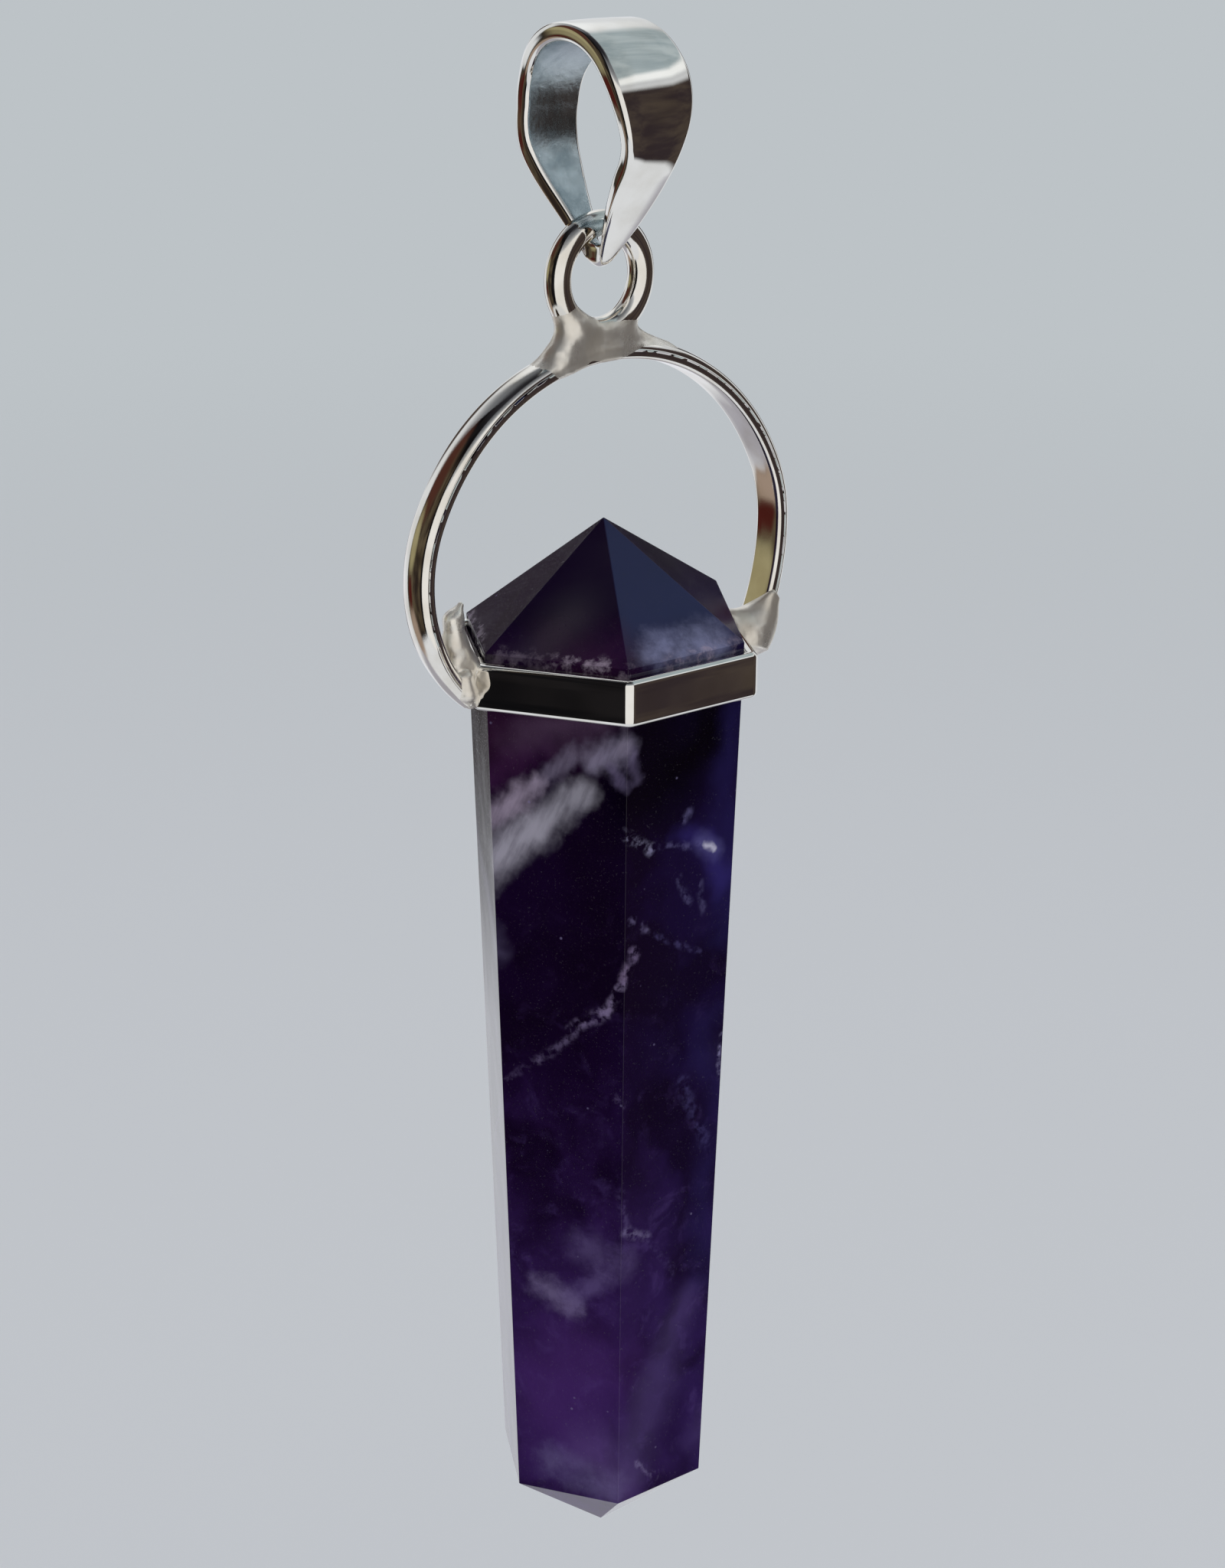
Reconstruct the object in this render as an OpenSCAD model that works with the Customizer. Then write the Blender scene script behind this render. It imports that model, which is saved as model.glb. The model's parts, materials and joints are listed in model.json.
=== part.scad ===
// Point pendant: a six-sided stone in a soldered silver setting, hanging from a bail.
// Millimetres. +Z is up, the hoop lies in the XZ plane, and the front is -Y.
// The origin is the inside top of the bail, where a chain running along X carries it.

/* [Stone] */
// Corner-to-corner width of the stone at its upper edge
stone_top_w = 10.24; // [8:0.02:12]
// Corner-to-corner width of the stone at its lower edge
stone_tip_w = 7.8; // [6:0.1:9]
// Length of the tapered six-sided body
stone_body = 32.2; // [20:0.1:40]
// Height of the upper point
stone_crown = 3.9; // [3:0.1:4.5]
// Height of the lower point
stone_point = 3; // [1:0.1:5]
// How much higher the upper edge runs at the right-hand corner, as it was cut
stone_rise = 0.8; // [0:0.1:1.5]
// Height of the stone's upper edge above the collar
stone_proud = 0.3; // [0:0.1:0.8]

/* [Collar] */
// Height of the six-sided collar
collar_h = 1.6; // [1.2:0.1:2.4]
// Thickness of the collar's strip at a corner
collar_wall = 0.44; // [0.3:0.02:0.8]
// Gap between the stone and the collar, measured at a corner
collar_gap = 0.04; // [0.02:0.01:0.1]

/* [Hoop] */
// Outer width of the hoop at its widest
hoop_w = 16.3; // [15:0.1:18]
// Height of the hoop's outer top above the collar
hoop_rise = 10.3; // [9:0.1:12]
// Height of the hoop's widest place above the collar
hoop_waist = 3; // [2.6:0.1:3.4]
// Outer radius of the hoop's bends at the waist
hoop_bend_r = 5.6; // [5:0.1:6]
// Outer radius of the right leg below the waist, which was left straighter than the left one
right_leg_r = 9.2; // [8:0.1:11]
// Width of the hoop's strip from front to back
strip_w = 1.25; // [1:0.05:1.8]
// Thickness of the hoop's strip at its middle
strip_t = 0.65; // [0.5:0.05:0.9]

/* [Small loop] */
// Diameter of the small loop's wire
wire_d = 0.9; // [0.8:0.05:1]
// Inner diameter of the small loop
loop_id = 2.65; // [2.5:0.05:3]
// How far the small loop is soldered left of the hoop's middle
loop_offset = 0.2; // [0:0.05:0.5]
// Length of the solder under the small loop
saddle_w = 4.6; // [4:0.1:5]

/* [Bail] */
// Outer depth of the bail from front to back
bail_depth = 6.16; // [5.6:0.02:7]
// Thickness of the bail's strip at the top
bail_t = 0.65; // [0.5:0.05:0.8]
// Distance from the middle of the bail's round top to the axis of the loop's wire
bail_drop = 3.5; // [3.3:0.1:4]
// Greatest width of the front leg
bail_front_w = 3.44; // [3:0.02:4]
// Width of the back leg
bail_back_w = 2.1; // [1.8:0.1:3]
// Width of the bail over the top
bail_top_w = 3.28; // [2.6:0.02:4]
// Width at the lowest tip, where the two legs meet
bail_tip_w = 0.5; // [0.4:0.1:1]

/* [Hidden] */
$fn = 96;
silver = [0.8, 0.8, 0.82];
amethyst = [0.22, 0.1, 0.36];

// The bail's round top is concentric, and the seat for the chain is its inner top
bail_r = bail_depth / 2;
bail_hollow_r = bail_r - bail_t;
bail_z = -bail_hollow_r;
// The wire turns in a round seat, wide enough for the loop's own curve beside the middle
axis_z = bail_z - bail_drop;
seat_gap = 0.19;
seat_r = wire_d / 2 + seat_gap;
// The two legs close to a rounded tip below the seat
tip_r = 0.45;
tip_drop = 0.98;
tip_z = axis_z - tip_drop;

// The loop's wire runs through the axis, and its lowest side is sunk into the hoop's top
loop_r = (loop_id + wire_d) / 2;
loop_z = axis_z - loop_r;
loop_sink = 0.12;
hoop_top_z = loop_z - loop_r - wire_d / 2 + loop_sink;
collar_top_z = hoop_top_z - hoop_rise;

// One large arc over the top and two smaller ones at the sides meet without a corner
bend_x = hoop_w / 2 - hoop_bend_r;
bend_z = collar_top_z + hoop_waist;
crown_rise = hoop_rise - hoop_waist;
hoop_crown_r = (pow(bend_x, 2) + pow(crown_rise, 2) - pow(hoop_bend_r, 2)) / (2 * (crown_rise - hoop_bend_r));
crown_z = hoop_top_z - hoop_crown_r;
crown_angle = atan2(bend_x, bend_z - crown_z);
// The left leg runs on past the side until its inner edge reaches the collar's corner
left_leg_angle = 147;
// The right leg ends beside the collar's corner, and the solder bridges the gap
right_leg_angle = 28;
strip_arch_r = 1;
bend_swell = 0.02;
bend_lap = 2;
// The solder's hollow flanks under the small loop, and its drops at the collar's corners
flank_r = 1.4;
left_drop_r = 0.5;
left_drop_out = 0.15;
left_drop_down = collar_h * 0.45;
right_drop_r = 0.85;
right_drop_out = 0.55;
right_drop_down = collar_h * 0.45;

// Heights of the stone's edges and half its widths
stone_edge_z = collar_top_z + stone_proud;
stone_low_z = stone_edge_z - stone_body;
stone_r = stone_top_w / 2;
stone_low_r = stone_tip_w / 2;
collar_in_r = stone_r + collar_gap;
collar_r = collar_in_r + collar_wall;
// How far the stone's space is cut past the collar's two rims, through the solder that ran in
cut_past = 1;

// Outline of a drop: two circles, one above the other, joined by their common tangents
module drop_outline(low_r, low_z, top_r, top_z) {
    lean = asin((top_r - low_r) / (top_z - low_z));
    translate([0, low_z]) circle(low_r);
    translate([0, top_z]) circle(top_r);
    polygon([
        [-low_r * cos(lean), low_z - low_r * sin(lean)],
        [low_r * cos(lean), low_z - low_r * sin(lean)],
        [top_r * cos(lean), top_z - top_r * sin(lean)],
        [-top_r * cos(lean), top_z - top_r * sin(lean)]
    ]);
}

// Draws an outline given as [y, z] and gives it a width along X
module across(width) {
    rotate([90, 0, 90]) linear_extrude(width, center = true) children();
}

// Outline of a leg seen from the front: half widths at heights above the tip
module leg_outline(table) {
    right = [for (row = table) [row[1], tip_z - tip_r + row[0]]];
    left = [for (i = [len(table) - 1 : -1 : 0]) [-table[i][1], tip_z - tip_r + table[i][0]]];
    polygon(concat(right, left));
}

// Teardrop of strip, wide over the top and narrow at the tip, cut to each leg's own outline
module bail() {
    // Height above the tip, half width
    front_leg = [
        [-0.1, bail_tip_w / 2],
        [1.4, bail_front_w * 0.19],
        [2, bail_front_w * 0.26],
        [3.6, bail_front_w * 0.32],
        [6.3, bail_front_w / 2],
        [8.2, bail_top_w / 2]
    ];
    back_leg = [
        [-0.1, bail_tip_w / 2],
        [1.4, bail_back_w * 0.31],
        [3.6, bail_back_w / 2],
        [6.3, bail_back_w / 2],
        [8.2, bail_top_w / 2]
    ];
    color(silver) intersection() {
        across(bail_front_w + bail_top_w) difference() {
            drop_outline(tip_r, tip_z, bail_r, bail_z);
            drop_outline(seat_r, axis_z, bail_hollow_r, bail_z);
        }
        union() {
            rotate([90, 0, 0]) linear_extrude(bail_depth) leg_outline(front_leg);
            translate([0, bail_depth, 0]) rotate([90, 0, 0]) linear_extrude(bail_depth) leg_outline(back_leg);
        }
    }
}

// Half-round section of the hoop's strip, flat on the inside, for an arc of a given outer radius
module strip_section(arc_r, swell) {
    intersection() {
        translate([arc_r - strip_t - swell, -strip_w / 2 - swell])
            square([strip_t + 2 * swell, strip_w + 2 * swell]);
        translate([arc_r - strip_arch_r, 0]) circle(strip_arch_r + swell);
    }
}

// Arc of the strip in the XZ plane, from one angle to another, measured from +X towards +Z
module strip_arc(arc_r, x, z, from, to, swell = 0) {
    translate([x, 0, z]) rotate([90, -from, 0])
        rotate_extrude(angle = to - from) strip_section(arc_r, swell);
}

// The bends at the waist are a hair thicker than the arcs that run a little way into them
module hoop() {
    strip_arc(hoop_crown_r, 0, crown_z, 90 - crown_angle, 90 + crown_angle);
    mirror([1, 0, 0])
        strip_arc(hoop_bend_r, bend_x, bend_z, 90 - left_leg_angle, 90 - crown_angle + bend_lap, bend_swell);
    strip_arc(hoop_bend_r, bend_x, bend_z, -bend_lap, 90 - crown_angle + bend_lap, bend_swell);
    strip_arc(right_leg_r, bend_x + hoop_bend_r - right_leg_r, bend_z, -right_leg_angle, 0);
}

// Six-sided block: the collar's outside, or the space inside it
module hexagon(r, h) {
    cylinder(r = r, h = h, $fn = 6);
}

// The collar before its inside is cut out
module collar() {
    translate([0, 0, collar_top_z - collar_h]) hexagon(collar_r, collar_h);
}

// Ring of round wire that hangs in the bail
module small_loop() {
    translate([-loop_offset, 0, loop_z]) rotate([90, 0, 0])
        rotate_extrude() translate([loop_r, 0]) circle(wire_d / 2);
}

// Solder that runs up from the hoop's arch to both sides of the small loop
module saddle() {
    edge_z = crown_z + sqrt(pow(hoop_crown_r, 2) - pow(saddle_w / 2, 2));
    foot_z = edge_z - strip_t / 2;
    rotate([90, 0, 0]) linear_extrude(wire_d, center = true) difference() {
        translate([-saddle_w / 2, foot_z]) square([saddle_w, loop_z - foot_z]);
        for (side = [-1, 1])
            translate([side * saddle_w / 2, edge_z + flank_r]) circle(flank_r);
        translate([-loop_offset, loop_z]) circle(loop_r);
    }
}

// Drops of solder that join the hoop's legs to the collar's corners
module solder_drops() {
    translate([-collar_r - left_drop_out, 0, collar_top_z - left_drop_down]) sphere(left_drop_r);
    translate([collar_r + right_drop_out, 0, collar_top_z - right_drop_down]) sphere(right_drop_r);
}

// The whole soldered piece, open inside for the stone
module setting() {
    color(silver) translate([loop_offset, 0, 0]) difference() {
        union() {
            collar();
            hoop();
            small_loop();
            saddle();
            solder_drops();
        }
        translate([0, 0, collar_top_z - collar_h - cut_past]) hexagon(collar_in_r, collar_h + 2 * cut_past);
    }
}

// Place of a point on one of the stone's six long edges, at a height
function edge_r(z) = stone_low_r + (stone_r - stone_low_r) * (z - stone_low_z) / stone_body;
function on_edge(i, z) = [edge_r(z) * cos(60 * i), edge_r(z) * sin(60 * i), z];

// Twelve corners on six tapering edges, closed by a low point at each end
module stone() {
    // Where each group of corners starts in the list of points
    apex = 0;
    upper = 1;
    lower = 7;
    tip = 13;
    points = concat(
        [[0, 0, stone_edge_z + stone_crown]],
        [for (i = [0 : 5]) on_edge(i, stone_edge_z + (i == 0 ? stone_rise : 0))],
        [for (i = [0 : 5]) on_edge(i, stone_low_z)],
        [[0, 0, stone_low_z - stone_point]]
    );
    faces = concat(
        [for (i = [0 : 5]) [apex, upper + (i + 1) % 6, upper + i]],
        [for (i = [0 : 5]) [upper + i, upper + (i + 1) % 6, lower + (i + 1) % 6, lower + i]],
        [for (i = [0 : 5]) [tip, lower + i, lower + (i + 1) % 6]]
    );
    color(amethyst) translate([loop_offset, 0, 0]) polyhedron(points, faces);
}

bail();
setting();
stone();
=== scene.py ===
"""Point pendant: a six-sided amethyst point in a soldered silver setting, hanging from its bail.

Everything is in metres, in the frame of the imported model: the front is -Y, +Z is up, and the origin
is the inside top of the bail. The sections follow the pendant from the bail down to the stone."""
import json
from math import asin, atan2, cos, pi, radians, sin

import bmesh
import bpy
import numpy as np
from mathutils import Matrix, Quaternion, Vector


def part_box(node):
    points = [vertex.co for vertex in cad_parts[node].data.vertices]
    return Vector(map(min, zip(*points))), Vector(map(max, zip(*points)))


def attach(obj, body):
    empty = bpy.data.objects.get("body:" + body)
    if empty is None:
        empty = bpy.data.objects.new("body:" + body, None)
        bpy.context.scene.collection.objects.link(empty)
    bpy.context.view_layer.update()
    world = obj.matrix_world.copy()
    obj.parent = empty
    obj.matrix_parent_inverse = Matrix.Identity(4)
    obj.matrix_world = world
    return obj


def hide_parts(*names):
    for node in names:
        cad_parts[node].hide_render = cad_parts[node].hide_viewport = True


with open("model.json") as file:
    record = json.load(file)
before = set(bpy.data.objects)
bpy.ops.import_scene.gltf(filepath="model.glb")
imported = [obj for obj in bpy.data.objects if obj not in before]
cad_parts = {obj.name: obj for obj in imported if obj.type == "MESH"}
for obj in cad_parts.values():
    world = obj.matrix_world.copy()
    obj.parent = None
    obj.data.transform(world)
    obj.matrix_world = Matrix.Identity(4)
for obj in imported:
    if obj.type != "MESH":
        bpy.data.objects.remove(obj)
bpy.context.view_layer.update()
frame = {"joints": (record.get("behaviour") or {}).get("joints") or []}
mm = 0.001

# Bail: a tapered strip of silver, bent over a rod into a closed teardrop that the chain runs through.
# The front leg is wide, the back leg is narrow, and both close to a rounded tip inside the small loop.
# It is sawn from sheet, polished bright outside with its edges eased, and left duller inside.
bail_low, bail_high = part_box("bail")
# The origin is the top of the hollow, so the box ends one strip's thickness above it
bail_t = bail_high.z
bail_r = bail_high.y
bail_hollow_r = bail_r - bail_t
bail_z = -bail_hollow_r
axis_z = frame["joints"][0]["pos_m"][2]
seat_r = 0.64 * mm
tip_r = 0.45 * mm
tip_z = bail_low.z + tip_r
bail_edge_r = 0.21 * mm
bail_back_bow = 0.25 * mm
bail_worn = 0.04 * mm
# Height above the tip, and the strip's full width there
front_widths = [(0, 0.5), (0.55, 1.0), (1.05, 1.35), (1.8, 1.75), (2.6, 2.04), (3.4, 2.12),
                (4.1, 2.36), (4.8, 2.76), (5.6, 3.1), (6.5, 3.34), (8, 3.3)]
back_widths = [(0, 0.5), (0.55, 0.9), (1.4, 1.3), (2.6, 1.95), (3.6, 2.3), (5, 2.35), (6.2, 2.5), (8, 3.3)]


class Net:
    """An output in a node tree. Arithmetic on it adds Math nodes, and node() adds any other node."""

    def __init__(self, tree, output=None):
        self.tree = tree
        self.output = output

    def node(self, kind, settings=None, inputs=None, out=0):
        """Adds a node, sets it up, and then gives its sockets their values or links."""
        made = self.tree.nodes.new(kind)
        for name, value in (settings or {}).items():
            setattr(made, name, value)
        for name, value in (inputs or {}).items():
            if isinstance(value, Net):
                self.tree.links.new(value.output, made.inputs[name])
            else:
                made.inputs[name].default_value = value
        return Net(self.tree, made.outputs[out]) if len(made.outputs) else made

    def math(self, operation, a, b):
        return self.node("ShaderNodeMath", {"operation": operation}, {0: a, 1: b})

    def vector(self, operation, a, b, out=0):
        """Vector Math: the second input is a scale where the operation is SCALE."""
        second = "Scale" if operation == "SCALE" else 1
        return self.node("ShaderNodeVectorMath", {"operation": operation}, {0: a, second: b}, out)

    def dot(self, other):
        return self.vector("DOT_PRODUCT", self, other, "Value")

    def length(self):
        return self.vector("LENGTH", self, (0, 0, 0), "Value")

    def part(self, axis):
        """One number of a vector: X, Y or Z."""
        return self.node("ShaderNodeSeparateXYZ", None, {0: self}, axis)

    def given(self, label):
        """The tree's own input of that name."""
        return self.node("NodeGroupInput", out=label)

    def __add__(self, other):
        return self.math("ADD", self, other)

    def __sub__(self, other):
        return self.math("SUBTRACT", self, other)

    def __mul__(self, other):
        return self.math("MULTIPLY", self, other)

    def __truediv__(self, other):
        return self.math("DIVIDE", self, other)

    def __radd__(self, other):
        return self.math("ADD", other, self)

    def __rsub__(self, other):
        return self.math("SUBTRACT", other, self)

    def __rmul__(self, other):
        return self.math("MULTIPLY", other, self)

    def smooth(self, low, high):
        """0 up to low and 1 from high on, with a soft step between them. low may be above high."""
        return self.node("ShaderNodeMapRange", {"interpolation_type": "SMOOTHSTEP"},
                         {"Value": self, "From Min": low, "From Max": high})

    def noise(self, scale, detail=2.0, roughness=0.5, distortion=0.0, out=0):
        """Noise at this place, with scale in features per unit."""
        return self.node("ShaderNodeTexNoise", None,
                         {"Vector": self, "Scale": scale, "Detail": detail, "Roughness": roughness,
                          "Distortion": distortion}, out)

    def mix(self, a, b):
        """Colour a where this value is 0, and colour b where it is 1."""
        return self.node("ShaderNodeMix", {"data_type": "RGBA"}, {0: self, 6: a, 7: b}, 2)

    def blend(self, a, b):
        """Number a where this value is 0, and number b where it is 1."""
        return self.node("ShaderNodeMix", None, {0: self, 2: a, 3: b})


def colour(code):
    """A linear colour from a hexadecimal one, by the sRGB curve."""
    parts = [int(code[i:i + 2], 16) / 255 for i in (0, 2, 4)]
    return (*[c / 12.92 if c < 0.04045 else ((c + 0.055) / 1.055) ** 2.4 for c in parts], 1)


def silver(name, bright, dim, gloss, dull, wave, wave_size, grain, grain_size, metallic=1.0):
    """Metal between two colours and two roughnesses, with slow waves and a fine grain in its surface.

    The waves and the grain have their heights in metres, and their sizes in millimetres."""
    scratch_lie = (0.5, 0.3, 0.4)
    scratch_stretch = (1, 6, 1)
    scratches_to_grain = 9
    scratch_share = 0.3
    scratch_dulling = 0.5
    material = bpy.data.materials.new(name)
    material.use_nodes = True
    tree = material.node_tree
    shader = tree.nodes["Principled BSDF"]
    net = Net(tree)
    place = net.vector("SCALE", net.node("ShaderNodeTexCoord", out="Object"), 1 / mm)
    stretched = net.node("ShaderNodeMapping", None,
                         {"Vector": place, "Rotation": scratch_lie, "Scale": scratch_stretch})
    cloud = place.noise(0.8, 3).smooth(0.35, 0.7)
    scratch = stretched.noise(scratches_to_grain / grain_size, 2, 0.6)
    speck = place.noise(1 / grain_size, 3, 0.6)
    tree.links.new(cloud.mix(colour(bright), colour(dim)).output, shader.inputs["Base Color"])
    rough = cloud.blend(gloss, dull) + (scratch - 0.5) * (scratch_dulling * gloss)
    tree.links.new(rough.output, shader.inputs["Roughness"])
    shader.inputs["Metallic"].default_value = metallic
    slow = net.node("ShaderNodeBump", None, {"Distance": wave, "Height": place.noise(1 / wave_size, 1)})
    height = speck * (1 - scratch_share) + scratch * scratch_share
    fine = net.node("ShaderNodeBump", None, {"Distance": grain, "Height": height, "Normal": slow})
    tree.links.new(fine.output, shader.inputs["Normal"])
    return material


def geometry_tree(name, sizes):
    """An empty tree with a geometry in and out, and a named input for each size."""
    tree = bpy.data.node_groups.new(name, "GeometryNodeTree")
    tree.interface.new_socket("Geometry", in_out="OUTPUT", socket_type="NodeSocketGeometry")
    tree.interface.new_socket("Geometry", in_out="INPUT", socket_type="NodeSocketGeometry")
    for label, kind in sizes.items():
        tree.interface.new_socket(label, in_out="INPUT", socket_type="NodeSocket" + kind)
    return tree


def finish_tree(net, shape, material):
    """Ends a tree with real geometry, smooth faces and its material."""
    shape = net.node("GeometryNodeSetShadeSmooth", None, {"Geometry": shape})
    shape = net.node("GeometryNodeRealizeInstances", None, {"Geometry": shape})
    shape = net.node("GeometryNodeSetMaterial", None, {"Geometry": shape, "Material": material})
    net.node("NodeGroupOutput", None, {"Geometry": shape})


swept_labels = ("turn", "flat", "centre", "across", "outward", "half_width", "half_thick")


def grow(name, start, tree, sizes):
    """Runs a tree on a start mesh, and returns what it makes as an object with a plain mesh."""
    seed = bpy.data.objects.new(name + "_start", start)
    bpy.context.scene.collection.objects.link(seed)
    modifier = seed.modifiers.new(tree.name, "NODES")
    modifier.node_group = tree
    for item in tree.interface.items_tree:
        if item.in_out == "INPUT" and item.name in sizes:
            modifier[item.identifier] = sizes[item.name]
    seed_now = seed.evaluated_get(bpy.context.evaluated_depsgraph_get())
    mesh = bpy.data.meshes.new_from_object(seed_now)
    for label in swept_labels:
        if label in mesh.attributes:
            mesh.attributes.remove(mesh.attributes[label])
    bpy.data.objects.remove(seed)
    outside = bmesh.new()
    outside.from_mesh(mesh)
    bmesh.ops.recalc_face_normals(outside, faces=outside.faces)
    outside.to_mesh(mesh)
    outside.free()
    piece = bpy.data.objects.new(name, mesh)
    bpy.context.scene.collection.objects.link(piece)
    return piece


def chain(name, columns, closed):
    """A mesh of points joined one to the next, whose attributes say what is swept along it."""
    mesh = bpy.data.meshes.new(name)
    points = next(iter(columns.values()))
    count = len(points)
    edges = [(i, (i + 1) % count) for i in range(count if closed else count - 1)]
    mesh.from_pydata([tuple(p) for p in points], edges, [])
    for label, values in columns.items():
        values = np.array(values, np.float32)
        layer = mesh.attributes.new(label, "FLOAT" if values.ndim == 1 else "FLOAT_VECTOR", "POINT")
        layer.data.foreach_set("value" if values.ndim == 1 else "vector", values.ravel())
    return mesh


def strip_path(name, rows, across, half_width, half_thick, closed=True):
    """The path of a strip or wire: rows of centre and outward direction, and a size for all or for each."""
    centres, outwards = zip(*rows)
    return chain(name, {
        "centre": centres,
        "across": [across] * len(rows),
        "outward": outwards,
        "half_width": np.broadcast_to(half_width, len(rows)),
        "half_thick": np.broadcast_to(half_thick, len(rows)),
    }, closed)


def strip_section(corner_steps, flat_steps):
    """The edge of a rounded strip: which corner each point belongs to, and its turn round that corner."""
    corners = [(1, 1), (-1, 1), (-1, -1), (1, -1)]
    flats = []
    turns = []
    for k, (a, b) in enumerate(corners):
        c, d = corners[(k + 1) % 4]
        for i in range(corner_steps + 1):
            angle = (k + i / corner_steps) * pi / 2
            flats.append((a, b, 0))
            turns.append((cos(angle), sin(angle), 0))
        for i in range(1, flat_steps):
            share = i / flat_steps
            flats.append((a + (c - a) * share, b + (d - b) * share, 0))
            turns.append(turns[-1])
    outline = chain("strip_section", {"turn": turns, "flat": flats}, True)
    section = bpy.data.objects.new("strip_section", outline)
    bpy.context.scene.collection.objects.link(section)
    return section


def strip_tree():
    """Sweeps the rounded section of a strip or wire along a path of centres with their own sizes."""
    weld = 0.0005 * mm
    tree = geometry_tree("strip_along_path", {
        "Section": "Object", "Edge Radius": "Float", "Dome": "Float", "Material": "Material"})
    net = Net(tree)

    def carried(label, kind):
        return net.node("GeometryNodeInputNamedAttribute", {"data_type": kind}, {"Name": label})

    path = net.node("GeometryNodeMeshToCurve", None, {"Mesh": net.given("Geometry")})
    outline = net.node("GeometryNodeObjectInfo", None, {"Object": net.given("Section")}, "Geometry")
    outline = net.node("GeometryNodeMeshToCurve", None, {"Mesh": outline})
    sweep = net.node("GeometryNodeCurveToMesh", None,
                     {"Curve": path, "Profile Curve": outline, "Fill Caps": True})
    flat = carried("flat", "FLOAT_VECTOR")
    turn = carried("turn", "FLOAT_VECTOR")
    half_width = carried("half_width", "FLOAT")
    half_thick = carried("half_thick", "FLOAT")
    edge = net.given("Edge Radius")
    aside = flat.part("X") * (half_width - edge) + turn.part("X") * edge
    out = flat.part("Y") * (half_thick - edge) + turn.part("Y") * edge
    share = aside / half_width
    out = out - net.given("Dome") * share * share * net.math("MAXIMUM", flat.part("Y"), 0.0)
    place = net.vector("ADD", carried("centre", "FLOAT_VECTOR"),
                       net.vector("SCALE", carried("across", "FLOAT_VECTOR"), aside))
    place = net.vector("ADD", place, net.vector("SCALE", carried("outward", "FLOAT_VECTOR"), out))
    sweep = net.node("GeometryNodeSetPosition", None, {"Geometry": sweep, "Position": place})
    sweep = net.node("GeometryNodeMergeByDistance", None, {"Geometry": sweep, "Distance": weld})
    finish_tree(net, sweep, net.given("Material"))
    return tree


def drop_points(low_r, low_z, top_r, top_z):
    """Points (y, z) round two circles and their tangents, from the bottom up the front and down the back."""
    low_points = 9
    leg_points = 18
    top_points = 33
    turn = pi / 2 + asin((top_r - low_r) / (top_z - low_z))
    low = [(-low_r * sin(a), low_z + low_r * cos(a)) for a in np.linspace(pi, turn, low_points)]
    top = [(-top_r * sin(a), top_z + top_r * cos(a)) for a in np.linspace(turn, 0, top_points)]
    leg = [tuple(point) for point in np.linspace(low[-1], top[0], leg_points)[1:-1]]
    front = low + leg + top
    return np.array(front + [(-y, z) for y, z in front[-2:0:-1]])


def strip_width(table, height):
    """The strip's full width at a height above the tip."""
    heights, widths = zip(*table)
    return np.interp(height / mm, heights, widths) * mm


bail_outer = drop_points(tip_r, tip_z, bail_r, bail_z)
bail_inner = drop_points(seat_r, axis_z, bail_hollow_r, bail_z)
bail_leg = bail_z - tip_z
bail_bow = np.array([bail_back_bow * sin(pi * min(max((z - tip_z) / bail_leg, 0), 1)) * (y > 0)
                     for y, z in bail_outer])
bail_way = (bail_outer - bail_inner) / np.linalg.norm(bail_outer - bail_inner, axis=1)[:, None]
bail_outer = bail_outer + bail_way * bail_bow[:, None]
bail_inner = bail_inner + bail_way * bail_bow[:, None]
bail_mid = (bail_outer + bail_inner) / 2
bail_half_t = np.linalg.norm(bail_outer - bail_inner, axis=1) / 2
bail_half_w = np.array([strip_width(front_widths if y < 0 else back_widths, z - bail_low.z) / 2
                        for y, z in bail_outer])
width_softenings = 3
for _ in range(width_softenings):
    bail_half_w = (np.roll(bail_half_w, 1) + 2 * bail_half_w + np.roll(bail_half_w, -1)) / 4
bail_rows = [((0, *mid), (0, *way)) for mid, way in zip(bail_mid, bail_way)]
bail_path = strip_path("bail_path", bail_rows, (1, 0, 0), bail_half_w, bail_half_t)

polished = silver("silver_polished", "f6f4f0", "ebe8e2", gloss=0.02, dull=0.05,
                  wave=0.006 * mm, wave_size=1.8, grain=0.0002 * mm, grain_size=0.08)
dulled = silver("silver_dulled", "d3dfe4", "a0b0b7", gloss=0.14, dull=0.28,
                wave=0.02 * mm, wave_size=0.4, grain=0.016 * mm, grain_size=0.16)
strip = strip_tree()
section = strip_section(corner_steps=6, flat_steps=4)
bail = grow("bail_strip", bail_path, strip,
            {"Section": section, "Edge Radius": bail_edge_r, "Dome": bail_worn, "Material": polished})
bail.data.materials.append(dulled)
# The dull faces are those that look into the hollow, and the strip's edges are left bright
hollow_mid_z = (bail_z + axis_z) / 2
edge_lean = 0.3
for face in bail.data.polygons:
    outwards = Vector((0, face.center.y, face.center.z - hollow_mid_z))
    looks_in = face.normal.dot(outwards) < 0
    face.material_index = int(looks_in and abs(face.normal.x) < edge_lean)
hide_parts("bail")
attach(bail, "bail")

# Hoop: half-round silver strip bent to a wide arch over the stone, with its flat side inwards.
# The left leg curves back in to a corner of the collar, and its end is filed narrower. The right one
# was left straighter and ends beside the opposite corner, where solder bridges the gap.
setting_low, setting_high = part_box("setting")
wire_r = 0.45 * mm
loop_r = 1.775 * mm
loop_z = axis_z - loop_r
loop_sink = 0.12 * mm
hoop_x = (setting_low.x + setting_high.x) / 2
hoop_top_z = loop_z - loop_r - wire_r + loop_sink
hoop_rise = 10.3 * mm
hoop_waist = 3 * mm
hoop_bend_r = 5.6 * mm
hoop_strip_w = 1.25 * mm
hoop_strip_t = 0.65 * mm
hoop_dome = 0.17 * mm
hoop_edge_r = 0.16 * mm
left_leg_turn = radians(-142)
left_filed_turn = radians(-112)
hoop_end_w = 0.72 * mm
right_leg_r = 9.2 * mm
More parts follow.
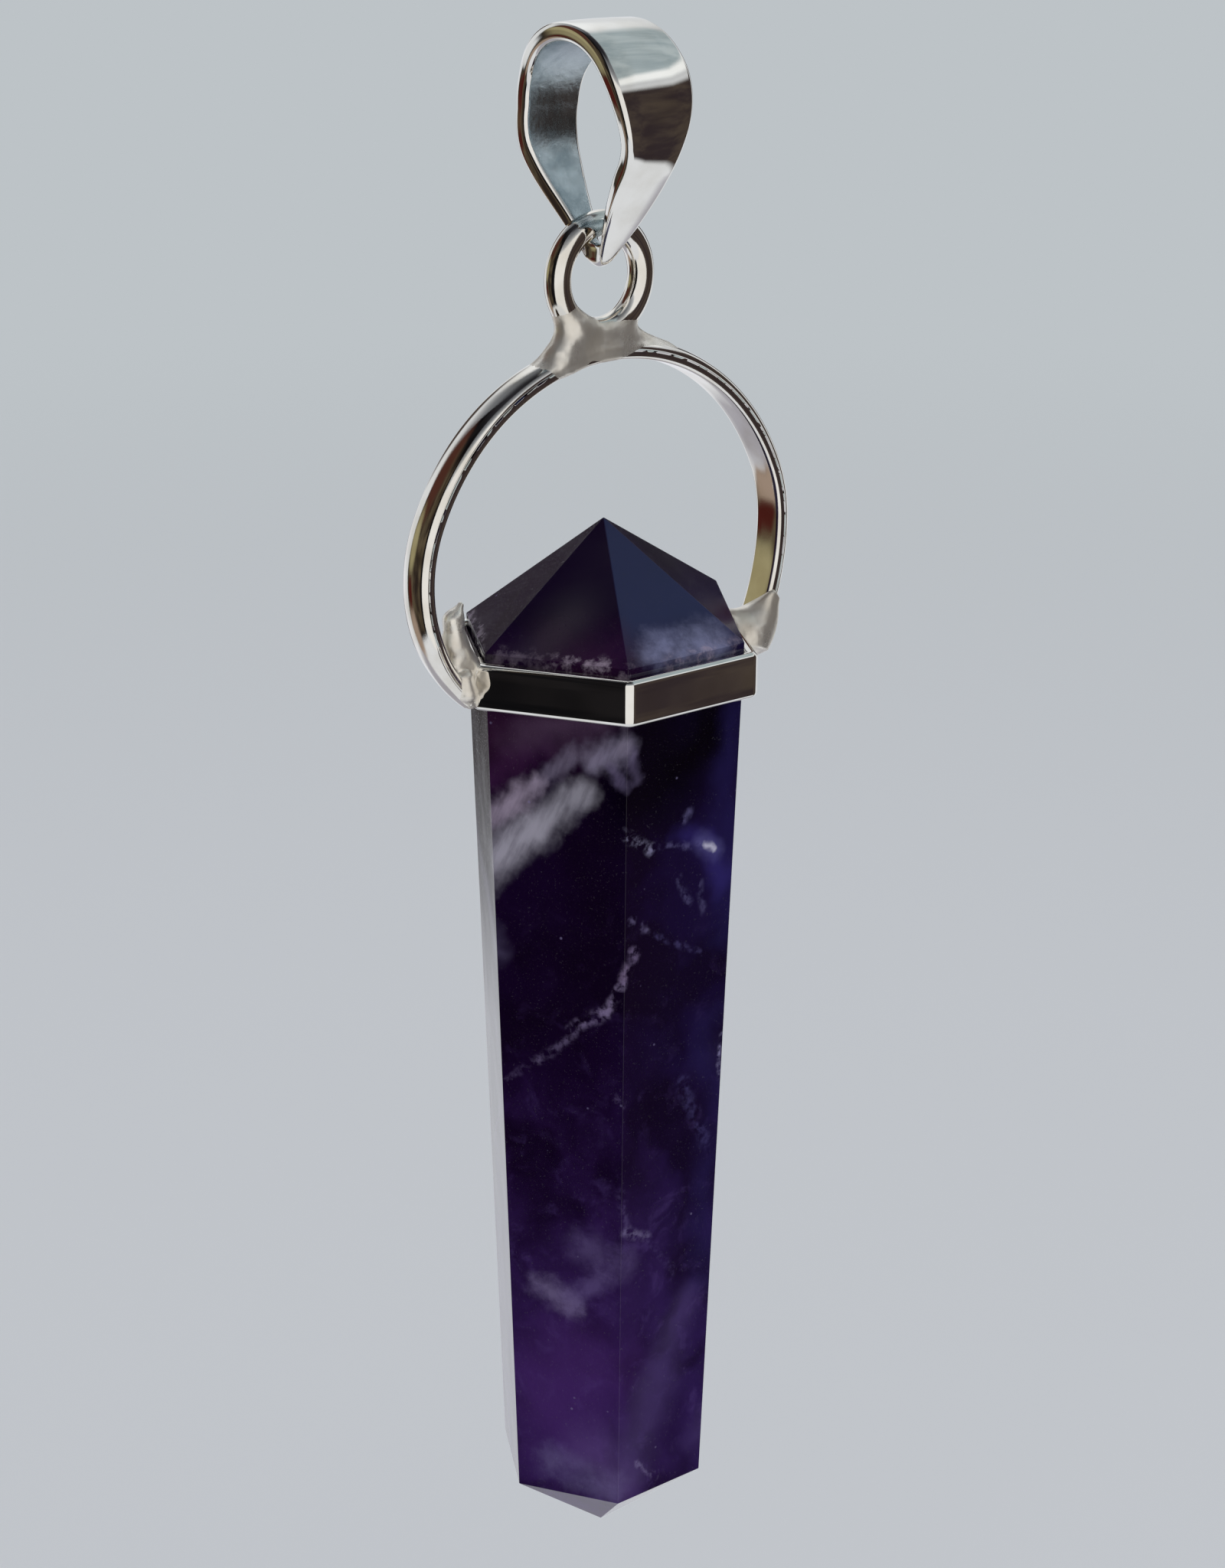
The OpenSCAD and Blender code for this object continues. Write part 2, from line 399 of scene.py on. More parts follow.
right_leg_turn = radians(118)
collar_top_z = hoop_top_z - hoop_rise
bend_x = (setting_high.x - setting_low.x) / 2 - hoop_bend_r
bend_z = collar_top_z + hoop_waist
# The crown's arc runs on into the bend at each side without a kink
crown_rise = hoop_rise - hoop_waist
crown_r = (bend_x ** 2 + crown_rise ** 2 - hoop_bend_r ** 2) / (2 * (crown_rise - hoop_bend_r))
crown_z = hoop_top_z - crown_r
crown_turn = atan2(bend_x, bend_z - crown_z)


def hoop_half_w(turn):
    """Half the strip's width, which was filed narrower towards the left end."""
    return np.interp(turn, [left_leg_turn, left_filed_turn], [hoop_end_w / 2, hoop_strip_w / 2])


def hoop_row(turn):
    """Centre and outward direction of the strip, at an angle from straight up."""
    x, z, r = (bend_x if turn > 0 else -bend_x), bend_z, hoop_bend_r
    if abs(turn) < crown_turn:
        x, z, r = 0, crown_z, crown_r
    elif turn > pi / 2:
        x, z, r = bend_x + hoop_bend_r - right_leg_r, bend_z, right_leg_r
    mid_r = r - hoop_strip_t / 2
    return (hoop_x + x + mid_r * sin(turn), 0, z + mid_r * cos(turn)), (sin(turn), 0, cos(turn))


hoop_points = 181
hoop_turns = np.linspace(left_leg_turn, right_leg_turn, hoop_points)
hoop_rows = [hoop_row(turn) for turn in hoop_turns]
hoop_path = strip_path("hoop_path", hoop_rows, (0, -1, 0), hoop_half_w(hoop_turns), hoop_strip_t / 2,
                       closed=False)
drawn = silver("silver_drawn", "f6f3ee", "e8e3da", gloss=0.035, dull=0.09,
               wave=0.014 * mm, wave_size=1.1, grain=0.0006 * mm, grain_size=0.07)
hoop = grow("hoop", hoop_path, strip,
            {"Section": section, "Edge Radius": hoop_edge_r, "Dome": hoop_dome, "Material": drawn})

# Small loop: a ring of round silver wire, its joint hidden in the solder on the hoop's top.
# It stands a little left of the hoop's middle, and hangs in the tip of the bail.
loop_points = 96
loop_turns = np.linspace(0, 2 * pi, loop_points + 1)[:-1]
loop_rows = [((loop_r * sin(a), 0, loop_z + loop_r * cos(a)), (sin(a), 0, cos(a))) for a in loop_turns]
loop_path = strip_path("loop_path", loop_rows, (0, -1, 0), wire_r, wire_r)
wire_section = strip_section(corner_steps=8, flat_steps=1)
small_loop = grow("small_loop", loop_path, strip,
                  {"Section": wire_section, "Edge Radius": wire_r, "Dome": 0.0, "Material": drawn})

# Collar: a flat silver strip bent at six corners round the stone, with its two rims rounded over and
# a narrow flat filed along each corner. The hoop is soldered to its left and right corners.
collar_h = 1.6 * mm
collar_wall = 0.44 * mm
collar_in_r = 5.16 * mm
collar_r = collar_in_r + collar_wall
collar_bend_r = 0.12 * mm
collar_edge_r = 0.2 * mm
collar_filed = 0.05 * mm
collar_mid_z = collar_top_z - collar_h / 2
# How far out a hexagon's sides lie where its corners lie at 1
side_share = cos(radians(30))
# Where the strip's middle lies in a bend, in degrees round the bend from its corner
bend_steps = (-30, -22, -12, -4, 4, 12, 22, 30)
bend_mid_r = (collar_in_r + collar_r) / 2 - (collar_bend_r + collar_filed / 4) / side_share
collar_rows = []
for k in range(6):
    corner = radians(60 * k)
    for step in bend_steps:
        turn = corner + radians(step)
        flat = collar_filed / 2 if step > 0 else -collar_filed / 2
        x = hoop_x + bend_mid_r * cos(corner) + collar_bend_r * cos(turn) - flat * sin(corner)
        y = bend_mid_r * sin(corner) + collar_bend_r * sin(turn) + flat * cos(corner)
        collar_rows.append(((x, y, collar_mid_z), (cos(turn), sin(turn), 0)))
collar_path = strip_path("collar_path", collar_rows, (0, 0, -1), collar_h / 2, collar_wall / 2)
collar = grow("collar", collar_path, strip,
              {"Section": section, "Edge Radius": collar_edge_r, "Dome": 0.0, "Material": polished})

# Solder: silver solder that has run into the joints and was not filed back. A saddle of it carries the
# small loop on the hoop, and drops of it hold the hoop's legs to the collar's corners.
solder = silver("silver_solder", "faf5ec", "e8e0d3", gloss=0.26, dull=0.42, wave=0.03 * mm,
                wave_size=0.4, grain=0.006 * mm, grain_size=0.16, metallic=0.78)
# Where no solder lies on the silver, the solder's skin runs this far under it
solder_sink = 0.008 * mm
swelling = 0.02 * mm
dimple = 0.014 * mm


def eased(a, b, edge_r):
    """Distance from a section whose two faces are a and b away, with its corners rounded."""
    a = a + edge_r
    b = b + edge_r
    return np.hypot(np.maximum(a, 0), np.maximum(b, 0)) + np.minimum(np.maximum(a, b), 0) - edge_r


def torus(p):
    """Distance from the small loop's wire."""
    ring = np.hypot(p[:, 0], p[:, 2] - loop_z) - loop_r
    return np.hypot(ring, p[:, 1]) - wire_r


def arch(p):
    """Distance from the hoop's strip."""
    x = np.abs(p[:, 0] - hoop_x)
    on_right = p[:, 0] > hoop_x
    on_crown = np.arctan2(x, p[:, 2] - crown_z) < crown_turn
    on_leg = on_right & ~on_crown & (p[:, 2] < bend_z)
    arc_x = np.where(on_crown, 0, np.where(on_leg, bend_x + hoop_bend_r - right_leg_r, bend_x))
    arc_z = np.where(on_crown, crown_z, bend_z)
    arc_r = np.where(on_crown, crown_r, np.where(on_leg, right_leg_r, hoop_bend_r))
    out = np.hypot(x - arc_x, p[:, 2] - arc_z) - arc_r + hoop_strip_t / 2
    last = np.where(on_right, right_leg_turn, -left_leg_turn)
    turn = np.arctan2(x - arc_x, p[:, 2] - arc_z)
    past = np.where(on_crown, -mm, (turn - last) * arc_r)
    half_w = hoop_half_w(np.where(on_right | on_crown, 0, -turn))
    dome = hoop_dome * np.clip(p[:, 1] / half_w, -1, 1) ** 2
    # The dome is on the outer face only
    on_dome = out > -hoop_strip_t / 8
    out = np.where(on_dome, np.maximum(out + dome, 0), out)
    strip_distance = eased(np.abs(p[:, 1]) - half_w, np.abs(out) - hoop_strip_t / 2, hoop_edge_r)
    return np.maximum(strip_distance, past)


def hexagon_distance(p, corner_r):
    """Distance outside an upright six-sided prism, ignoring its height."""
    turns = [radians(a) for a in range(30, 390, 60)]
    sides = [(p[:, 0] - hoop_x) * cos(turn) + p[:, 1] * sin(turn) for turn in turns]
    return np.max(sides, axis=0) - corner_r * side_share


def band(p):
    """Distance from the collar."""
    rim = np.abs(p[:, 2] - collar_mid_z) - collar_h / 2
    return eased(hexagon_distance(p, collar_r), rim, collar_edge_r)


def bead(p, start, end, start_r, end_r):
    """Distance from a drop drawn out between two places, in millimetres, with a radius at each."""
    a = np.array(start) * mm
    way = (np.array(end) - start) * mm
    share = np.clip((p - a) @ way / (way @ way), 0, 1)
    radius = (start_r + (end_r - start_r) * share) * mm
    return np.linalg.norm(p - a - share[:, None] * way, axis=1) - radius


def flow(a, b, reach):
    """Two distances run together, as melted metal does, over a reach in millimetres."""
    near = np.maximum(reach * mm - np.abs(a - b), 0) / (reach * mm)
    return np.minimum(a, b) - near * near * reach * mm / 4


def skin(low, high, field):
    """Closed faces round the places where a field is below zero, each point settled on the field's zero.

    The room that is searched lies between two corners, low and high, in millimetres."""
    step = 0.06 * mm
    probe = 0.02 * step
    longest_move = 0.3 * step
    least_slope = 0.2
    settlings = 8
    low = np.array(low) * mm
    counts = np.ceil((np.array(high) * mm - low) / step).astype(int) + 1
    grid = np.stack(np.meshgrid(*[np.arange(n) for n in counts], indexing="ij"), -1)
    inside = field(grid.reshape(-1, 3) * step + low).reshape(counts) < 0
    cells = np.zeros(counts - 1, int)
    for corner in np.ndindex(2, 2, 2):
        cells += inside[tuple(slice(c, n - 1 + c) for c, n in zip(corner, counts))]
    mixed = (cells > 0) & (cells < 8)
    number = np.full(cells.shape, -1)
    number[mixed] = np.arange(mixed.sum())
    points = (np.argwhere(mixed) + 0.5) * step + low
    for _ in range(settlings):
        value = field(points)
        slope = np.stack([(field(points + nudge) - field(points - nudge)) / (2 * probe)
                          for nudge in probe * np.eye(3)], 1)
        move = value[:, None] * slope / np.maximum((slope ** 2).sum(1), least_slope)[:, None]
        points = points - np.clip(move, -longest_move, longest_move)
    faces = []
    for axis in range(3):
        first = inside.take(np.arange(counts[axis] - 1), axis)
        second = inside.take(np.arange(1, counts[axis]), axis)
        crossing = np.argwhere(first != second)
        u, v = (axis + 1) % 3, (axis + 2) % 3
        crossing = crossing[(crossing[:, u] > 0) & (crossing[:, v] > 0)]
        round_it = []
        for du, dv in ((0, 0), (1, 0), (1, 1), (0, 1)):
            cell = crossing.copy()
            cell[:, u] -= du
            cell[:, v] -= dv
            round_it.append(number[tuple(np.minimum(cell, np.array(cells.shape) - 1).T)])
        quads = np.stack(round_it, 1)
        leaving = first[tuple(crossing.T)]
        quads[~leaving] = quads[~leaving][:, ::-1]
        faces.append(quads)
    return points, np.concatenate(faces)


def lumps(p):
    """How uneven the solder set: slow swellings, with quicker dimples over them."""
    x, y, z = p.T
    # Waves along each axis, in radians per metre
    slow = swelling * np.sin(x * 2900 + 1) * np.sin(y * 4100 + 0.5) * np.sin(z * 3700)
    return slow + dimple * np.sin(x * 8100 + 2) * np.sin(y * 7300 + 1) * np.sin(z * 5900)


def ended(p, metal, centre, radii, slope=1.4):
    """The metal inside an egg shape. Its middle, its radii and its slope past the rim are in millimetres."""
    past = np.linalg.norm((p - np.array(centre) * mm) / (np.array(radii) * mm), axis=1) - 1
    return np.maximum(metal, past * slope * mm)


def saddle(p):
    """The solder under the small loop: steep on the left, and run out thin along the hoop on the right."""
    top = hoop_top_z / mm
    left = bead(p, (-1.8, -0.1, top - 0.25), (-1.2, -0.1, top + 0.35), 0.42, 0.42)
    right = bead(p, (0.9, 0, top + 0.1), (2.8, 0, top - 0.62), 0.42, 0.2)
    fillet = flow(torus(p), arch(p), 0.85)
    metal = flow(flow(fillet, left + lumps(p), 0.7), right + lumps(p), 0.35)
    return ended(p, metal + solder_sink, (0.4, 0, top), (4.6, 3, 1.7), slope=1.5)


def left_drop(p):
    """The drop at the collar's left corner, with a web of solder drawn up inside the hoop's leg.

    x and z are the top of that corner."""
    x = (hoop_x - collar_r) / mm
    z = collar_top_z / mm
    ball = bead(p, (x - 0.56, -0.26, z - 0.3), (x - 0.44, -0.26, z - 0.8), 0.31, 0.35)
    corner = bead(p, (x - 0.4, -0.1, z - 0.8), (x - 0.14, 0, z - 1.25), 0.36, 0.26)
    web = bead(p, (x - 0.2, 0.1, z + 0.05), (x - 0.74, 0, z + 0.9), 0.42, 0.38)
    blade = bead(p, (x - 0.74, 0, z + 0.9), (x - 0.82, 0, z + 1.7), 0.38, 0.33)
    tip = bead(p, (x - 0.8, 0, z + 1.7), (x - 0.5, 0, z + 2.15), 0.28, 0.11)
    root = bead(p, (x - 0.45, 0.1, z - 0.5), (x - 0.75, 0.1, z + 0.15), 0.4, 0.34)
    drawn_up = flow(flow(web, blade, 0.3), flow(tip, root, 0.1), 0.3)
    filled = flow(flow(arch(p), band(p), 0.15), flow(corner, drawn_up, 0.3) + lumps(p), 0.12)
    metal = flow(filled, ball, 0.08)
    metal = ended(p, metal + solder_sink, (x - 0.9, 0, z), (1.9, 1.5, 2.6))
    return np.maximum(metal, -hexagon_distance(p, collar_in_r))


def right_drop(p):
    """The lump at the collar's right corner, which bridges the gap to the hoop's leg.

    Its top slants down towards the back. x and z are the top of that corner."""
    coat_t = 0.15 * mm
    slant_rise = 0.75
    x = (hoop_x + collar_r) / mm
    z = collar_top_z / mm
    ball = bead(p, (x + 0.2, -0.1, z - 0.75), (x + 0.8, -0.1, z - 0.95), 0.62, 0.62)
    web = bead(p, (x + 0.9, -0.12, z - 0.9), (x + 1.45, -0.08, z - 0.6), 0.6, 0.5)
    foot = bead(p, (x + 0.95, -0.1, z - 1.1), (x + 0.7, -0.1, z - 1.6), 0.55, 0.42)
    coat = arch(p) - coat_t
    metal = flow(flow(coat, band(p), 0.6), flow(flow(ball, web, 0.8), foot, 0.8) + lumps(p), 0.7)
    slant = (p[:, 2] - (z + 0.1) * mm + slant_rise * p[:, 1]) / np.hypot(1, slant_rise)
    metal = -flow(-(metal + solder_sink), -slant, 0.3)
    metal = ended(p, metal, (x + 0.8, 0, z - 0.6), (1.6, 1.4, 1.7))
    return np.maximum(metal, -hexagon_distance(p, collar_in_r))


# The room that each lump lies in, as its low and high corner in millimetres
lump_rooms = [((-4.8, -1.2, -12), (5.4, 1.2, -7.9), saddle),
              ((-8.4, -1.7, -22.8), (-4.3, 1.7, -17.2), left_drop),
              ((4.6, -1.7, -22.9), (8.4, 1.7, -18.5), right_drop)]
solder_points = []
solder_faces = []
for low, high, field in lump_rooms:
    points, faces = skin(low, high, field)
    solder_faces.extend((faces + sum(len(p) for p in solder_points)).tolist())
    solder_points.append(points)
solder_mesh = bpy.data.meshes.new("solder")
solder_mesh.from_pydata(np.concatenate(solder_points).tolist(), [], solder_faces)
solder_mesh.shade_smooth()
solder_mesh.materials.append(solder)
solder_joints = bpy.data.objects.new("solder_joints", solder_mesh)
bpy.context.scene.collection.objects.link(solder_joints)
for piece in (hoop, small_loop, collar, solder_joints):
    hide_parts("setting")
    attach(piece, "drop")
bpy.data.objects.remove(section)
bpy.data.objects.remove(wire_section)

# Stone: one amethyst crystal, cut to six sides that taper downwards, with a low point at each end.
# It is sawn, ground flat and polished. Its edges are eased, and its upper rim is rubbed pale in places.
stone_low, stone_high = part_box("stone")
stone_x = hoop_x
stone_proud = 0.3 * mm
stone_body = 32.2 * mm
stone_top_r = 5.12 * mm
stone_low_r = 3.9 * mm
stone_rise = 0.8 * mm
stone_edge_z = collar_top_z + stone_proud
stone_low_z = stone_edge_z - stone_body


def point_tree():
    """Six tapering sides closed by a point above and a point below, from a plain six-sided block."""
    tree = geometry_tree("six_sided_point", {
        "Upper Radius": "Float", "Lower Radius": "Float", "Body Length": "Float",
        "Crown Height": "Float", "Point Height": "Float", "Raised Corner": "Float",
        "Middle": "Vector", "Material": "Material"})
    net = Net(tree)
    block = net.node("GeometryNodeMeshCylinder", {"fill_type": "TRIANGLE_FAN"},
                     {"Vertices": 6, "Radius": 1.0, "Depth": 2.0})
    at = net.node("GeometryNodeInputPosition")
    upper = net.math("GREATER_THAN", at.part("Z"), 0.0)
    centre = net.math("LESS_THAN", net.vector("MULTIPLY", at, (1, 1, 0)).length(), 0.5)
    raised = net.math("GREATER_THAN", at.part("X"), 0.9) * upper * net.given("Raised Corner")
    taper = (net.given("Upper Radius") - net.given("Lower Radius")) / net.given("Body Length")
    radius = net.given("Lower Radius") + taper * upper * net.given("Body Length") + raised * taper
    height = upper * (net.given("Body Length") + raised + centre * net.given("Crown Height"))
    height = height - (1 - upper) * centre * net.given("Point Height")
    place = net.node("ShaderNodeCombineXYZ", None,
                     {"X": at.part("X") * radius, "Y": at.part("Y") * radius, "Z": height})
    block = net.node("GeometryNodeSetPosition", None,
                     {"Geometry": block, "Position": net.vector("ADD", place, net.given("Middle"))})
    finish_tree(net, block, net.given("Material"))
    return tree


def mark(side, across, height):
    """A place on one of the stone's sides, in millimetres: how far across it, and above its foot."""
    corner_r = stone_low_r + (stone_top_r - stone_low_r) * height * mm / stone_body
    out = corner_r / mm * side_share
    turn = radians(side)
    x = stone_x / mm + out * cos(turn) - across * sin(turn)
    y = out * sin(turn) + across * cos(turn)
    return Vector((x, y, stone_low_z / mm + height))


# The stone's six sides, each by the direction in degrees that it faces
front_left, front_right, right_side, back_right, back_side, left_side = 210, 270, 330, 30, 90, 150
# Broad colour zones, and low on the front left a painted glow of light passing through the stone. Each mark
# has its side, its start and end as (across, height) in millimetres, its width, its strength and its colour.
zones_and_glow = [
    (front_left, (-1.8, 29.6), (0.8, 30.4), 2.8, 0.6, "42203f"),
    (front_left, (-2.6, 27.6), (-1.0, 28.6), 1.0, 0.6, "4a2450"),
    (front_right, (1.0, 29.6), (-0.4, 28.2), 3.6, 1.0, "04000d"),
    (front_right, (-1.6, 30.0), (-1.8, 27.5), 2.0, 0.9, "080112"),
    (front_right, (2.4, 30.0), (2.2, 22.0), 1.2, 0.45, "2b2560"),
    (front_right, (1.7, 18.0), (1.6, 8.0), 1.3, 0.4, "332a66"),
    (front_right, (0.6, 25.8), (2.0, 24.2), 1.0, 0.3, "4c41a0"),
    (front_left, (-1.0, 29.4), (1.6, 30.0), 1.3, 0.4, "6e5672"),
    # Painted glow of light passing through the stone, low on the front left
    (front_left, (0.6, 5.5), (-0.4, 4.0), 3.4, 0.6, "56327c"),
    (front_left, (0.6, 2.0), (1.6, 0.6), 1.6, 0.5, "6f5496"),
    (front_right, (0.4, 3.0), (0.9, 1.0), 1.3, 0.5, "1c0a33"),
    (front_right, (1.0, 7.0), (-1.7, 1.6), 1.7, 0.3, "6f5c98"),
    (right_side, (-1.2, 17.0), (1.0, 19.4), 1.6, 0.3, "5f5190"),
    (right_side, (0.4, 3.4), (-1.2, 1.6), 1.8, 0.35, "6f5c98"),
    (back_right, (-1.8, 23.2), (1.4, 26.8), 1.1, 0.5, "8a80a8"),
    (back_right, (0.2, 9.0), (1.6, 6.4), 1.7, 0.35, "6f5c98"),
    (back_side, (-2.0, 12.2), (1.2, 14.6), 1.2, 0.35, "7465a0"),
    (back_side, (0.8, 2.6), (-1.2, 1.2), 1.8, 0.45, "6f5c98"),
    (left_side, (-2.4, 24.4), (1.6, 21.6), 1.1, 0.45, "8a80a8"),
]
# The pale streak that runs down to the left under the collar
streak = [
    (front_left, (0.8, 27.7), (-0.8, 26.2), 0.85, 0.8, "b4b0be"),
    (front_left, (-0.8, 26.2), (-3.2, 24.25), 1.15, 1.0, "b8b3c3"),
    (front_left, (0.5, 29.0), (-0.8, 27.75), 0.55, 0.5, "9a8fab"),
    (front_left, (-0.8, 27.75), (-2.6, 26.25), 0.7, 0.85, "b7a7bf"),
    (front_left, (1.35, 28.9), (2.45, 29.5), 0.8, 0.75, "a198b4"),
    (front_left, (1.9, 28.8), (2.4, 28.1), 0.45, 0.5, "8578a0"),
    (front_right, (-2.3, 29.2), (-2.0, 28.3), 0.42, 0.4, "8578a0"),
    (front_left, (2.45, 30.2), (2.4, 29.4), 0.4, 0.5, "94899f"),
]
# Thin broken veils
feathers = [
    (front_right, (-3.0, 26.6), (-1.3, 25.6), 0.28, 0.6, "b0aad0"),
    (front_right, (-1.2, 25.6), (1.0, 25.2), 0.24, 0.35, "8a82bb"),
    (front_right, (0.0, 24.2), (0.5, 23.2), 0.3, 0.3, "8a82bb"),
    (front_right, (0.9, 23.8), (1.2, 22.8), 0.26, 0.25, "8a82bb"),
    (front_right, (0.2, 26.4), (0.4, 26.6), 0.3, 0.4, "8a82bb"),
    (front_right, (-2.1, 23.1), (-1.5, 22.6), 0.26, 0.45, "9486b8"),
    (front_right, (-1.95, 22.0), (-1.9, 21.7), 0.3, 0.5, "a892c2"),
    (front_right, (-2.2, 21.4), (-2.4, 21.0), 0.32, 0.5, "b098c4"),
    (front_left, (2.3, 20.8), (1.6, 19.7), 0.28, 0.55, "ab98c4"),
    (front_left, (1.6, 19.7), (0.4, 18.7), 0.32, 0.5, "a08dbb"),
    (front_left, (0.2, 18.4), (-0.9, 17.5), 0.3, 0.35, "9c8ab8"),
    (front_left, (-1.2, 17.2), (-2.2, 16.4), 0.2, 0.25, "8a76a8"),
    (front_right, (-1.1, 22.4), (1.1, 21.1), 0.18, 0.25, "7f74b8"),
    (front_left, (1.9, 16.5), (2.2, 16.2), 0.24, 0.4, "7d6a9c"),
    (front_right, (2.2, 17.6), (2.2, 16.0), 0.2, 0.7, "a9a0d0"),
    (front_right, (-2.2, 12.6), (-1.9, 11.2), 0.34, 0.25, "8472ac"),
    (front_right, (-1.9, 11.2), (-1.0, 10.6), 0.32, 0.4, "a99bca"),
    (front_right, (-1.0, 10.6), (0.4, 8.8), 0.2, 0.2, "7d6ea8"),
    (front_right, (1.7, 13.6), (0.4, 16.4), 0.5, 0.25, "6f66a8"),
    (front_right, (-1.2, 1.4), (-0.1, 0.4), 0.2, 0.4, "a292c4"),
    (front_left, (0.4, 34.4), (1.0, 34.3), 0.26, 0.8, "b48fb8"),
    (right_side, (-2.2, 24.6), (0.6, 22.4), 0.24, 0.5, "9c8ab8"),
    (back_right, (1.4, 20.2), (-0.8, 17.0), 0.24, 0.5, "9c8ab8"),
    (back_side, (-1.8, 25.8), (1.4, 22.6), 0.26, 0.6, "a892c2"),
    (left_side, (1.4, 15.2), (-1.4, 12.4), 0.24, 0.5, "9c8ab8"),
]
# Soft spots on the upper point and near the foot
spots = [
    (front_left, (0.2, 33.2), (1.8, 32.6), 2.2, 0.7, "341538"),
    (front_left, (0.2, 35.4), (0.4, 34.6), 2.8, 1.0, "080414"),
    (front_right, (-1.0, 32.8), (1.4, 32.6), 1.3, 0.7, "9498c0"),
    (front_right, (-1.6, 33.6), (-1.0, 33.9), 0.8, 0.5, "8486b4"),
    (front_right, (2.6, 33.2), (2.4, 32.4), 0.8, 0.8, "1c1c40"),
    (front_left, (0.8, 10.4), (2.2, 9.8), 1.1, 0.35, "8370aa"),
    (front_left, (-0.9, 8.5), (0.2, 7.9), 0.8, 0.5, "9a8ab8"),
    (front_left, (0.2, 8.2), (1.4, 9.2), 0.7, 0.4, "8370aa"),
    (front_left, (-0.6, 1.2), (1.6, 0.6), 1.1, 0.4, "857aac"),
]
# Painted shade over the whole front left facet of the upper point, and a painted reflection over the front
# right one
painted_facet_light = [(front_left, 0.8, "130722"), (front_right, 0.6, "1b2955")]


